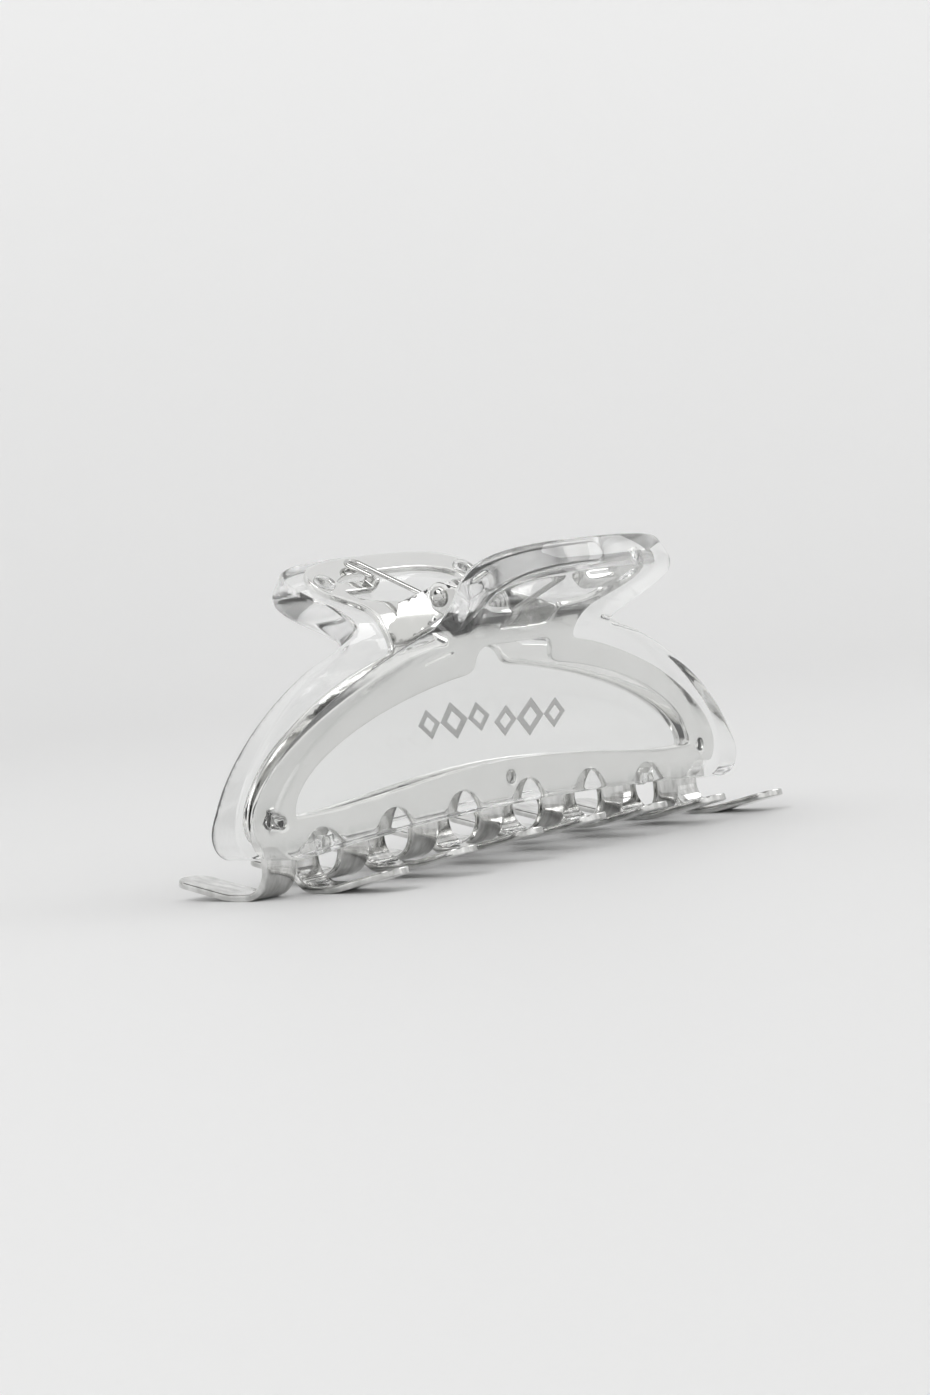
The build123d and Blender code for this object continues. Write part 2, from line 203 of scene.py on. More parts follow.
def bezier(*poles, count=24):
    """Points of a cubic curve from its four poles."""
    a, b, c, d = (np.array(p, float) for p in poles)
    t = np.linspace(0, 1, count)[:, None]
    u = 1 - t
    curve = a * u ** 3 + 3 * b * t * u ** 2 + 3 * c * t * t * u + d * t ** 3
    return [tuple(p) for p in curve]


def arc(centre, radius, start, stop, count=24):
    """Points of a circle's arc, both ends included."""
    angles = (start + (stop - start) * i / (count - 1) for i in range(count))
    return [(centre[0] + radius * cos(a), centre[1] + radius * sin(a)) for a in angles]


def mirrored(right):
    """Close a right half, drawn upward, with its mirror image."""
    return right + [(-x, v) for x, v in reversed(right)]


def spaced(points, step, closed=True):
    """The same line, with its points evenly spaced."""
    p = np.array(points, float)
    if closed:
        p = np.vstack([p, p[:1]])
    run = np.concatenate([[0], np.cumsum(np.hypot(*np.diff(p, axis=0).T))])
    t = np.linspace(0, run[-1], max(8, round(run[-1] / step)), endpoint=not closed)
    return np.column_stack([np.interp(t, run, p[:, 0]), np.interp(t, run, p[:, 1])])


def softened(points, reach, closed=True, fine=0.05):
    """Round the corners of a line by averaging it over `reach` mm to each side."""
    p = spaced(points, fine, closed)
    k = max(1, round(reach / fine))
    if closed:
        p = np.vstack([p[-k:], p, p[:k]])
    else:
        p = np.vstack([2 * p[0] - p[k:0:-1], p, 2 * p[-1] - p[-2:-k - 2:-1]])
    kernel = np.full(2 * k + 1, 1 / (2 * k + 1))
    return np.column_stack([np.convolve(p[:, i], kernel, "valid") for i in (0, 1)])


def thinned(points, step, turn=radians(8), least=0.06):
    """Keep a point every `step` mm, and at each `turn` where the line bends, `least` mm apart."""
    p = np.array(points, float)
    ahead = np.roll(p, -1, 0) - p
    angle = np.arctan2(ahead[:, 1], ahead[:, 0])
    change = np.abs((angle - np.roll(angle, 1) + pi) % (2 * pi) - pi)
    length = np.hypot(*ahead.T)
    kept, run, bend = [], step, 0.0
    for i in range(len(p)):
        bend += change[i]
        if run >= step or (bend >= turn and run > least):
            kept.append(i)
            run = bend = 0.0
        run += length[i]
    return p[kept]


# ---- closed meshes from outlines ----------------------------------------------------
def offset(loop, inset, sharpest=0.6):
    """Move a loop into the material, which is on its left. `sharpest` keeps corners from spiking."""
    ahead = np.roll(loop, -1, 0) - loop
    ahead /= np.hypot(*ahead.T)[:, None]
    left = np.column_stack([-ahead[:, 1], ahead[:, 0]])
    both = left + np.roll(left, 1, 0)
    both /= np.hypot(*both.T)[:, None]
    stretch = 1 / np.maximum((both * left).sum(1), sharpest)
    return loop + both * (inset * stretch)[:, None]


def crossings(loops, y):
    """Sorted x values where the loops cross the line at height y."""
    found = []
    for loop in loops:
        nxt = np.roll(loop, -1, 0)
        cut = (loop[:, 1] > y) != (nxt[:, 1] > y)
        a, b = loop[cut], nxt[cut]
        found.append(a[:, 0] + (y - a[:, 1]) / (b[:, 1] - a[:, 1]) * (b[:, 0] - a[:, 0]))
    return np.sort(np.concatenate(found))


def inside(loops, points, margin=0.0):
    """Which points lie in the region, with `margin` to spare to its left and right."""
    result = np.zeros(len(points), bool)
    heights, which = np.unique(points[:, 1], return_inverse=True)
    for row, y in enumerate(heights):
        xs = crossings(loops, y)
        members = np.nonzero(which.ravel() == row)[0]
        x = points[members, 0]
        low = np.searchsorted(xs, x - margin)
        high = np.searchsorted(xs, x + margin)
        result[members] = (low == high) & (low % 2 == 1)
    return result


def grid_in(loops, step, clear=0.45):
    """A square grid of points inside the loops, `clear` steps away from their edges."""
    low, high = loops[0].min(0), loops[0].max(0)
    xs = np.arange(low[0] + step / 2, high[0], step)
    ys = np.arange(low[1] + step / 2, high[1], step)
    points = np.column_stack([g.ravel() for g in np.meshgrid(xs, ys)])
    near = clear * step
    keep = inside(loops, points, near)
    for shift in (-near, near):
        keep &= inside(loops, points + (0, shift), 0.0)
    return points[keep]


def fill(loops, step, merge=1e-7):
    """Inner points of the region between the loops, and its triangles.

    A triangle's numbers count the loops' own points first, and then the inner ones."""
    own = np.vstack(loops)
    grid = grid_in(loops, step)
    points = np.vstack([own, grid])
    edges, start = [], 0
    for loop in loops:
        n = len(loop)
        edges += [(start + i, start + (i + 1) % n) for i in range(n)]
        start += n
    corners = [Vector(p) for p in points]
    _, _, faces, sources, _, _ = delaunay_2d_cdt(corners, edges, [], 0, merge)
    where = [source[0] for source in sources]
    triangles = np.array([[where[i] for i in face] for face in faces])
    centres = points[triangles].mean(1)
    return grid, triangles[inside(loops, centres)]


class Shape:
    """Points and faces in millimetres, which several closed forms may add to."""

    def __init__(self):
        self.points, self.faces = [], []

    def add(self, points):
        start = len(self.points)
        self.points += [tuple(p) for p in points]
        return start

    def band(self, a, b, count):
        """Quads between two closed rings of `count` points."""
        for i in range(count):
            j = (i + 1) % count
            self.faces.append((a + i, a + j, b + j, b + i))

    def sheet(self, loops, place, rim, step, bosses=()):
        """A sheet over the loops. rim lists (inset, height) from its top face to its bottom one,
        as numbers or, where the edge's roundness varies, as arrays along a single loop.

        bosses on the bottom face are (centre, [(radius, height), ...]), each closed by a dome."""
        starts = [[] for _ in rim]
        for loop in loops:
            for level, (inset, height) in enumerate(rim):
                moved = offset(loop, inset)
                heights = np.broadcast_to(height, len(moved))
                ring = [place(x, v, out) for (x, v), out in zip(moved, heights)]
                starts[level].append(self.add(ring))
            for level in range(len(rim) - 1):
                self.band(starts[level][-1], starts[level + 1][-1], len(loop))
        self.cover(loops, starts[0], rim[0], place, step, ())
        self.cover(loops, starts[-1], rim[-1], place, step, bosses)

    def cover(self, loops, starts, level, place, step, bosses, count=36):
        """Close one face of a sheet with triangles, round any bosses on it, which have `count` sides.

        The face's height is the same all round, even where it comes as an array."""
        inset, height = level[0], float(np.mean(level[1]))
        flat_loops = [offset(loop, inset) for loop in loops]
        owners = list(starts)
        turns = [-2 * pi * i / count for i in range(count)]
        for centre, rings in bosses:
            begins = []
            for radius, level_height in rings:
                ring = [(centre[0] + radius * cos(t), centre[1] + radius * sin(t)) for t in turns]
                begins.append(self.add(place(x, v, level_height) for x, v in ring))
                if len(begins) == 1:
                    flat_loops.append(np.array(ring))
            for a, b in zip(begins, begins[1:]):
                self.band(a, b, count)
            tip = self.add([place(*centre, rings[-1][1])])
            last = begins[-1]
            self.faces += [(last + i, last + (i + 1) % count, tip) for i in range(count)]
            owners.append(begins[0])
        grid, triangles = fill(flat_loops, step)
        index = []
        for loop, start in zip(flat_loops, owners):
            index += range(start, start + len(loop))
        first = self.add(place(x, v, height) for x, v in grid)
        index += range(first, first + len(grid))
        self.faces += [tuple(index[i] for i in t) for t in triangles]

    def tube(self, path, radius, around=16):
        """A round wire along a path, with flattened round ends."""
        flatness = 0.6
        cap_angles = [radians(k) for k in (28, 56, 78)]
        path = [Vector(p) for p in path]
        ahead = [(b - a).normalized() for a, b in zip(path, path[1:])]
        ahead.append(ahead[-1])
        across = ahead[0].orthogonal().normalized()
        rings = []
        ends = {0: -1, len(path) - 1: 1}
        for i, point in enumerate(path):
            along = (ahead[max(i - 1, 0)] + ahead[i]).normalized()
            across = (across - along * across.dot(along)).normalized()
            other = along.cross(across)
            sizes = [(0.0, 1.0)]
            if i in ends:
                caps = [(ends[i] * sin(a) * flatness, cos(a)) for a in cap_angles]
                sizes = caps[::-1] + sizes if i == 0 else sizes + caps
            for forward, share in sizes:
                turns = (2 * pi * k / around for k in range(around))
                ring = [point + along * (forward * radius)
                        + (across * cos(t) + other * sin(t)) * (radius * share) for t in turns]
                rings.append(self.add(ring))
        for a, b in zip(rings, rings[1:]):
            self.band(a, b, around)
        self.faces.append(tuple(range(rings[0], rings[0] + around)))
        self.faces.append(tuple(range(rings[-1], rings[-1] + around)))

    def lathe(self, profile, around=48):
        """A form turned about the pin's axis. profile lists (x, radius), closed at both ends."""
        rings = []
        for x, radius in profile:
            turns = (2 * pi * k / around for k in range(around))
            rings.append(self.add((x, radius * cos(t), pin_z + radius * sin(t)) for t in turns))
        for a, b in zip(rings, rings[1:]):
            self.band(a, b, around)
        for ring, x in ((rings[0], profile[0][0]), (rings[-1], profile[-1][0])):
            tip = self.add([(x, 0, pin_z)])
            self.faces += [(ring + i, ring + (i + 1) % around, tip) for i in range(around)]


def piece(name, shape, material, turned=False):
    """A smooth mesh object in metres. turned gives the rear jaw's copy."""
    sign = -1 if turned else 1
    points = [(sign * x * MM, sign * y * MM, z * MM) for x, y, z in shape.points]
    mesh = bpy.data.meshes.new(name)
    mesh.from_pydata(points, [], shape.faces)
    work = bmesh.new()
    work.from_mesh(mesh)
    bmesh.ops.recalc_face_normals(work, faces=work.faces)
    work.to_mesh(mesh)
    work.free()
    mesh.polygons.foreach_set("use_smooth", [True] * len(mesh.polygons))
    mesh.materials.append(material)
    obj = bpy.data.objects.new(name, mesh)
    bpy.context.scene.collection.objects.link(obj)
    return obj


def rounded_rim(top, bottom, top_radius, bottom_radius, count=5):
    """(inset, height) round an edge, from the top face over the side to the bottom face."""
    rim = []
    for i in range(count + 1):
        a = pi / 2 * i / count
        rim.append((top_radius * (1 - sin(a)), top - top_radius * (1 - cos(a))))
    for i in range(count + 1):
        a = pi / 2 * i / count
        rim.append((bottom_radius * (1 - cos(a)), bottom + bottom_radius * (1 - sin(a))))
    return rim


# ---- the steel frame ----------------------------------------------------------------
tongue_end, tongue_at, tongue_half, tongue_margin = 6.1, 4.3, 1.1, 0.3
lip_bend, lip_rise = 0.8, 1.8
lip_start = tongue_end + lip_bend + sheet / 2
lip_arc = lip_bend * pi / 2
stud_x, stud_at, stud_radius = 15.3, 5.6, 1.0
plate_studs = ((-46.3, corner_z - 0.95), (0.0, corner_z - 0.4), (46.3, corner_z - 0.95))


def steel_point(x, v, out):
    """A point of the steel, whose spring tongue ends in a lip bent up square."""
    on_tongue = abs(v - heel_v - tongue_at) < tongue_half + tongue_margin
    if not (on_tongue and 0 < x < lip_start):
        return jaw_point(x, v, out)
    d = lip_start - x
    radius = lip_bend + out
    if d < lip_arc:
        a = d / lip_bend
        return jaw_point(lip_start - radius * sin(a), v, radius * cos(a) - lip_bend)
    return jaw_point(lip_start - radius, v, lip_arc - lip_bend - d)


def tooth_tip(index):
    """Flat pattern height at which a tooth reaches its full length."""
    x, v, step = tooth_x(index), 0.0, 0.02
    while jaw_point(x, v, 0)[1] < tooth_reach:
        v -= step
    return v


def comb_line():
    """The frame's lower edge, from its left pad through the seven teeth to its right pad."""
    last_crown_stop, last_pad_start = radians(62), radians(-55)
    half = steel_arch[0]
    corner = (half - pad_corner, pad_foot + pad_corner)
    side = acos((tooth_x(0) - tooth_width / 2 + corner[0]) / -pad_corner)
    line = arc((-corner[0], corner[1]), pad_corner, pi, pi + side)
    for i in range(teeth):
        x, tip = tooth_x(i), tooth_tip(i)
        left, right = x - tooth_width / 2, x + tooth_width / 2
        line += arc((left + tip_corner, tip + tip_corner), tip_corner, pi, 1.5 * pi)
        line += arc((right - tip_corner, tip + tip_corner), tip_corner, -pi / 2, 0)
        crown_x = x + pitch / 2
        top = gap_top - gap_drop * (crown_x / first_tooth) ** 2
        centre = (crown_x, top - crown_radius)
        dx, dz = right - centre[0], root_z - centre[1]
        lean_in = (atan2(dz, dx) % (2 * pi)) - acos(crown_radius / sqrt(dx * dx + dz * dz))
        stop = pi - lean_in if i < teeth - 1 else last_crown_stop
        line += [(right, root_z)] + arc(centre, crown_radius, lean_in, stop)
        if i < teeth - 1:
            line.append((x + pitch - tooth_width / 2, root_z))
    return line + arc(corner, pad_corner, last_pad_start, 0)


def handle_side(neck, tip, far):
    """Right half of a handle: flank, tip and far edge, in the flat pattern."""
    pull = flank_pull * (tip[1] - handle_low)
    flank = bezier((neck, handle_low), (neck, handle_low + pull), (tip[0], tip[1] - pull), tip)
    over = bezier(tip, (tip[0], far - tip_drop), (over_pull * tip[0], far), (0, far), count=40)
    return [(x, heel_v + s) for x, s in flank + over[1:]]


def steel_outline():
    """The frame's whole edge, with flowing sides and crisper teeth."""
    upper = [(x, flat(z)) for x, z in arch(steel_arch, steel_base, 0, pi / 2) if x > neck_half]
    right = upper + handle_side(neck_half, ring_tip, ring_far)
    sides = softened(mirrored(right), reach=1.3, closed=False)
    return softened([tuple(p) for p in sides] + comb_line(), reach=0.3)


def window_outline():
    """Arched window with the notch in its top and the lower bar's flattened arch as its sill."""
    half, sill_steps = window[0], 60
    foot_x = notch_half + notch_foot
    side = [(x, z) for x, z in arch(window, corner_z, 0, pi / 2, count=160) if x > foot_x]
    z = side[-1][1]
    knee = (notch_half, notch_top - notch_corner)
    out, low, high = notch_flow
    side += bezier((foot_x, z), (notch_half + out, z + low), (notch_half, z + high), knee)
    side += arc((notch_half - notch_corner, notch_top - notch_corner), notch_corner, 0, pi / 2)
    upper = mirrored([(x, flat(z)) for x, z in side])
    lower = []
    for i in range(sill_steps + 1):
        x = -half + 2 * half * i / sill_steps
        u = (x / half) ** 2
        lower.append((x, flat(bar_end + bar_rise * (1 - u) - bar_dip * (1 - u * u))))
    return softened(upper + lower, reach=0.35)[::-1]


def ring_opening():
    """The handle's opening, open to the relief between the lugs, with the spring tongue in it."""
    relief_half, relief_v = lug_face - 2 * sheet - lug_gap, flat(relief_z)
    half_count = 200
    oval = arch(hole, heel_v + hole_centre, -pi / 2, 1.5 * pi, count=2 * half_count)
    tongue_v = heel_v + tongue_at
    low, high = tongue_v - tongue_half, tongue_v + tongue_half
    flat_end = lip_start - lip_arc - (lip_rise - lip_bend)
    first = [p for p in oval[:half_count] if p[0] > relief_half and p[1] < low]
    rest = [p for p in oval if p[1] > high or p[0] < -relief_half]
    detour = [(flat_end, low), (flat_end, high)]
    line = [(relief_half, relief_v)] + first + detour + rest + [(-relief_half, relief_v)]
    return softened(line, reach=0.4)[::-1]


def round_hole(x, v, radius, count=40):
    """Clockwise circle, with the material outside it."""
    turns = (-2 * pi * i / count for i in range(count))
    return np.array([(x + radius * cos(t), v + radius * sin(t)) for t in turns])


def lug_loops():
    """Side outline of a lug, in (y, z), and its eye."""
    fold_corner = 0.35
    points = []
    for corner, radius in (((0.0, pin_z), eye_radius), (fold_high, fold_corner), (fold_low, fold_corner)):
        points += arc(corner, radius, 0, 2 * pi, count=120)
    side = softened(convex_hull(points), reach=0.35)
    return [thinned(side, step=0.5), round_hole(0.0, pin_z, eye_hole, count=48)]


def convex_hull(points):
    """Counter-clockwise hull of a list of points."""
    points = sorted(set(points))

    def half(sequence):
        chain = []
        for p in sequence:
            while len(chain) > 1:
                (ax, ay), (bx, by) = chain[-2], chain[-1]
                if (bx - ax) * (p[1] - ay) - (by - ay) * (p[0] - ax) > 0:
                    break
                chain.pop()
            chain.append(p)
        return chain[:-1]

    return half(points) + half(points[::-1])


def steel_shape():
    """The stamping, with holes for the shell's studs, and its two folded lugs."""
    shape = Shape()
    loops = [thinned(steel_outline(), step=0.5),
             thinned(window_outline(), step=0.6),
             thinned(ring_opening(), step=0.4)]
    for x, z in plate_studs:
        loops.append(round_hole(x, flat(z), stud_radius))
    for side in (-1, 1):
        loops.append(round_hole(side * stud_x, heel_v + stud_at, stud_radius))
    rim = rounded_rim(sheet / 2, -sheet / 2, top_radius=0.18, bottom_radius=0.24, count=4)
    shape.sheet(loops, steel_point, rim, step=0.6)
    inner = lug_face - 2 * sheet - lug_gap
    for start in (-lug_face, inner):
        middle = start + sheet / 2
        shape.sheet(lug_loops(), lambda y, z, out: (middle + out, y, z), rim, step=0.5)
    return shape


# ---- the clear shell ----------------------------------------------------------------
skin_gap = 0.03                # air between the shell and the steel
pips = ((-39.05, corner_z - 4.5), (31.95, corner_z - 4.5))
pip_radius, pip_root = 0.9, 0.6
stud_root, stud_slack = 0.06, 0.04             # fillet at a stud's root, gap round a plate stud
stem_root, stem_radius, stud_head, head_edge, head_dome = 1.02, 0.95, 1.65, 0.25, 0.65
outer_edge, edge_above_sill, edge_on_wing = 0.45, 0.85, 0.5  # radii: the edges get rounder upward
inner_edge, inner_above_sill = 0.3, 0.3


def shell_outline():
    """The shell's edge: arched sill, rounded feet, arch, neck and wing."""
    middle = (sheet + slab) / 2
    half = shell_arch[0]
    heel_x = half - heel_in
    pull = (4 * sill_z - heel_z) / 3
    up, across, down = foot_flow
    sill = bezier((-heel_x, heel_z), (-heel_x / 3, pull), (heel_x / 3, pull), (heel_x, heel_z), count=60)
    foot = bezier((heel_x, heel_z), (half - across, heel_z - down), (half, heel_z + up), (half, shell_base))
    side = [p for p in arch(shell_arch, shell_base, 0, pi / 2) if p[0] > shell_neck_half]
    right = [(x, flat(z, middle)) for x, z in foot + side]
    right += handle_side(shell_neck_half, wing_tip, wing_far)
    return softened(mirrored(right) + sill, reach=1.2)


def eased(value, start, stop):
    """Smooth step from 0 at start to 1 at stop."""
    t = np.clip((value - start) / (stop - start), 0, 1)
    return t * t * (3 - 2 * t)


def flush_stud(inner, flush):
    """(radius, height) down a plate stud, whose low dome ends just past the steel's inner face."""
    r = stud_radius - stud_slack
    shank = [(r + 0.08, inner), (r, inner - stud_root), (r, flush + 0.1)]
    return shank + [(r - 0.06, flush + 0.02), (r * 0.8, flush - 0.06), (r * 0.4, flush - 0.1)]


def headed_stud(inner, flush):
    """(radius, height) down a handle stud, with a domed head over the ring."""
    stem = [(stem_root, inner), (stem_radius, inner - stud_root), (stem_radius, flush - 0.02)]
    head = [(stud_head, flush - 0.02), (stud_head, flush - head_edge)]
    angles = (radians(k) for k in range(15, 90, 15))
    return stem + head + [(stud_head * cos(a), flush - head_edge - head_dome * sin(a)) for a in angles]


def shell_shape():
    """The clear slab with its wing, studs and two small pips."""
    shape = Shape()
    inner, outer, flush = sheet / 2 + skin_gap, sheet / 2 + slab, -sheet / 2
    loop = thinned(shell_outline(), step=0.6)
    above_sill = eased(loop[:, 1], corner_z - 3.0, corner_z + 2.0)
    on_wing = eased(loop[:, 1], neck_v, heel_v + 2.0)
    outer_radius = outer_edge + edge_above_sill * above_sill + edge_on_wing * on_wing
    inner_radius = inner_edge + inner_above_sill * above_sill
    rim = rounded_rim(outer, inner, outer_radius, inner_radius, count=8)
    bosses = [((x, flat(z)), flush_stud(inner, flush)) for x, z in plate_studs]
    for side in (-1, 1):
        bosses.append(((side * stud_x, heel_v + stud_at), headed_stud(inner, flush)))
    shape.sheet([loop], jaw_point, rim, step=1.0, bosses=bosses)
    pip_rim = rounded_rim(inner + pip_root, flush, top_radius=0.1, bottom_radius=0.25, count=4)
    for x, z in pips:
        pip = round_hole(x, flat(z), pip_radius)[::-1]
        shape.sheet([pip], jaw_point, pip_rim, step=0.5)
    return shape


motif_z, motif_pitch = corner_z + 8.0, 5.5
lozenge_sizes, lozenge_hole = (2.4, 3.0, 2.4), 0.52          # the hole is a share of the size
print_proud, print_edge = 0.04, 0.03


def print_shape():
    """Generic ornament printed on the shell: three open lozenges."""
    shape = Shape()
    face = sheet / 2 + slab
    v = flat(motif_z, face)
    rim = rounded_rim(face + print_proud, face - print_proud, print_edge, print_edge, count=2)
    for index, size in enumerate(lozenge_sizes):
        x = (index - 1) * motif_pitch
        loops = []
        for reach, sign in ((size, 1), (lozenge_hole * size, -1)):
            quarters = (pi / 2 * k for k in range(4))
            corners = [(x + reach * cos(t), v + sign * reach * sin(t)) for t in quarters]
            loops.append(thinned(softened(corners, reach=0.1, fine=0.02), step=0.3))
        shape.sheet(loops, jaw_point, rim, step=0.4)
    return shape


# ---- the hinge ----------------------------------------------------------------------
def pin_shape():
    """Rivet pin with a flanged, domed head at each end."""
    head_gap, flange = 0.08, 0.3
    reach = lug_face + head_gap
    right = [(reach - 0.02, pin_radius), (reach, head_radius - 0.1), (reach + 0.06, head_radius - 0.02),
             (reach + 0.16, head_radius), (reach + 0.25, head_radius - 0.04),
             (reach + flange, head_radius - 0.16)]
    dome_rise, dome_radius = head_rise - flange, head_radius - 0.2
    angles = (radians(k) for k in (6, 15, 25, 35, 45, 55, 65, 75, 84))
    right += [(reach + flange + dome_rise * sin(a), dome_radius * cos(a)) for a in angles]
    shape = Shape()
    shape.lathe([(-x, r) for x, r in reversed(right)] + right)
    return shape


def spring_shape():
    """Torsion spring: a leg with its hook, the coil, and the same leg turned half a turn."""
    coil_steps, leg_steps, hook_steps, return_steps = 30 * coil_turns, 24, 16, 8
    first = leg_slope - pi / 2
    wrap = 2 * pi * coil_turns + pi - 2 * (pi / 2 - leg_slope)
    climb = coil_pitch / (2 * pi)
    length = wrap * climb
    coil = []
    for i in range(coil_steps + 1):
        turn = wrap * i / coil_steps
        y, z = coil_radius * cos(first - turn), pin_z + coil_radius * sin(first - turn)
        coil.append(Vector((climb * turn - length / 2, y, z)))
    along = -Vector((climb, coil_radius * sin(first), -coil_radius * cos(first))).normalized()
    side = Vector((-1, 0, 0))
    side = (side - along * side.dot(along)).normalized()
    leg_end = coil[0] + along * leg_length
    leg = [coil[0] + along * (leg_length * i / leg_steps) for i in range(1, leg_steps + 1)]
    centre = leg_end + side * hook_radius
    for i in range(1, hook_steps + 1):
        a = pi * i / hook_steps
        leg.append(centre - side * (hook_radius * cos(a)) + along * (hook_radius * sin(a)))
    hook_end = leg_end + side * (2 * hook_radius)
    leg += [hook_end - along * (hook_return * i / return_steps) for i in range(1, return_steps + 1)]
    other = [Vector((-p.x, -p.y, p.z)) for p in leg]
    shape = Shape()
    shape.tube(leg[::-1] + coil + other, wire)
    return shape


# ---- materials ----------------------------------------------------------------------
def new_material(name):
    """A material with its node tree and its shader node."""
    material = bpy.data.materials.new(name)
    material.use_nodes = True
    tree = material.node_tree
    return material, tree, tree.nodes["Principled BSDF"]


def noise(tree, scale, stretch=(1, 1, 1), detail=4.0):
    """Noise in the piece's own space. scale is in features per metre."""
    place = tree.nodes.new("ShaderNodeTexCoord")
    mapping = tree.nodes.new("ShaderNodeMapping")
    mapping.inputs["Scale"].default_value = stretch
    texture = tree.nodes.new("ShaderNodeTexNoise")
    texture.inputs["Scale"].default_value = scale
    texture.inputs["Detail"].default_value = detail
    tree.links.new(place.outputs["Object"], mapping.inputs["Vector"])
    tree.links.new(mapping.outputs["Vector"], texture.inputs["Vector"])
    return texture.outputs["Fac"]


def ranged(tree, value, low, high, start=0.3, stop=0.7):
    """Carry a value from the range start..stop over to low..high."""
    node = tree.nodes.new("ShaderNodeMapRange")
    node.inputs["From Min"].default_value = start
    node.inputs["From Max"].default_value = stop
    node.inputs["To Min"].default_value = low
    node.inputs["To Max"].default_value = high
    tree.links.new(value, node.inputs["Value"])
    return node.outputs["Result"]


def bump(tree, value, distance, strength, under=None):
    """Normal of a face with relief `distance` metres high, on top of the relief `under`."""
    node = tree.nodes.new("ShaderNodeBump")
    node.inputs["Distance"].default_value = distance
    node.inputs["Strength"].default_value = strength
    tree.links.new(value, node.inputs["Height"])
    if under:
        tree.links.new(under, node.inputs["Normal"])
    return node.outputs["Normal"]


def tinted(tree, value, dark, light):
    """Colour from dark to light. Each is a colour or another node's output."""
    node = tree.nodes.new("ShaderNodeMix")
    node.data_type = "RGBA"
    share, colour_a, colour_b, result = node.inputs[0], node.inputs[6], node.inputs[7], node.outputs[2]
    for socket, colour in ((colour_a, dark), (colour_b, light)):
        if isinstance(colour, tuple):
            socket.default_value = (*colour, 1)
        else:
            tree.links.new(colour, socket)
    tree.links.new(value, share)
    return result


def height_share(tree, low, high):
    """0 below the height `low` and 1 above `high`, in millimetres."""
    place = tree.nodes.new("ShaderNodeTexCoord")
    split = tree.nodes.new("ShaderNodeSeparateXYZ")
    tree.links.new(place.outputs["Object"], split.inputs[0])
    return ranged(tree, split.outputs["Z"], 0.0, 1.0, low * MM, high * MM)


def steel_material(name, light, dark, smooth, rough, grain, teeth_shade=None):
    """Plated steel: bright, with faint clouding, fine rolling grain and a slightly wavy face.

    The pair of colours for the bent teeth is painted shade: a darker, streaked colour low down stands in
    for the shadowed floor that the teeth reflect."""
    material, tree, shader = new_material(name)
    shader.inputs["Metallic"].default_value = 1.0
    clouds = noise(tree, scale=160)
    colour = tinted(tree, clouds, dark, light)
    if teeth_shade:
        # painted shade: darker streaks low on the teeth, in place of the shadowed floor they reflect
        shade_streaks = ranged(tree, noise(tree, scale=900, stretch=(1, 0.4, 0.4)), 0.0, 1.0)
        colour = tinted(tree, height_share(tree, *teeth_shade_heights), tinted(tree, shade_streaks, *teeth_shade), colour)
    tree.links.new(colour, shader.inputs["Base Color"])
    polish = noise(tree, scale=700, stretch=(0.25, 1, 1))
    tree.links.new(ranged(tree, polish, smooth, rough), shader.inputs["Roughness"])
    waves = noise(tree, scale=110, detail=1.0)
    wavy = bump(tree, waves, distance=0.0004, strength=0.25)
    rolling = noise(tree, scale=2600, stretch=(0.06, 1, 1))
    lines = bump(tree, rolling, distance=0.00002, strength=grain, under=wavy)
    tree.links.new(lines, shader.inputs["Normal"])
    return material


def clear_material(name):
    """Clear moulded plastic with a faint flow waviness and a few soft scuffs.

    The body's index is set low, because with the coat's 1.49 in it the slab's edges render black.
    The coat gives the faces back most of their shine."""
    material, tree, shader = new_material(name)
    shader.inputs["Base Color"].default_value = (0.985, 0.988, 0.985, 1)
    shader.inputs["Transmission Weight"].default_value = 0.96
    shader.inputs["IOR"].default_value = 1.16
    shader.inputs["Coat Weight"].default_value = 0.6
    shader.inputs["Coat IOR"].default_value = 1.49
    shader.inputs["Coat Roughness"].default_value = 0.02
    scuffs = ranged(tree, noise(tree, scale=260), 0.0, 0.05, start=0.45, stop=0.8)
    tree.links.new(scuffs, shader.inputs["Roughness"])
    flow = noise(tree, scale=60, stretch=(1, 1, 2), detail=1.0)
    tree.links.new(bump(tree, flow, distance=0.0006, strength=0.10), shader.inputs["Normal"])
    return material


def print_material(name):
    """Matt silver foil print with fine speckle."""
    material, tree, shader = new_material(name)
    shader.inputs["Metallic"].default_value = 0.75
    speck = noise(tree, scale=3000)
    tree.links.new(tinted(tree, speck, (0.42, 0.42, 0.42), (0.62, 0.62, 0.61)), shader.inputs["Base Color"])
    tree.links.new(ranged(tree, speck, 0.3, 0.5), shader.inputs["Roughness"])
    tree.links.new(bump(tree, speck, distance=0.00003, strength=0.3), shader.inputs["Normal"])
    return material


# ---- the pieces ---------------------------------------------------------------------
def fit_out(obj, body, slot, *nodes):
    """A piece that rides on a body and stands for CAD nodes."""
    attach(obj, body)
    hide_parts(*nodes)


teeth_shade_heights = (5.0, 8.5)      # painted shade on the teeth fades out between these heights
# the last pair of colours is painted shade for the teeth
bright_steel = steel_material("plated_steel", light=(0.84, 0.84, 0.83), dark=(0.78, 0.78, 0.77),
                              smooth=0.05, rough=0.14, grain=0.25,
                              teeth_shade=((0.44, 0.44, 0.43), (0.80, 0.80, 0.79)))
pin_steel = steel_material("rivet_steel", light=(0.66, 0.66, 0.65), dark=(0.52, 0.52, 0.51),
                           smooth=0.06, rough=0.14, grain=0.2)
wire_steel = steel_material("wire_steel", light=(0.66, 0.66, 0.65), dark=(0.48, 0.48, 0.47),
                            smooth=0.10, rough=0.20, grain=0.4)
clear_plastic = clear_material("clear_plastic")
silver_print = print_material("silver_print")

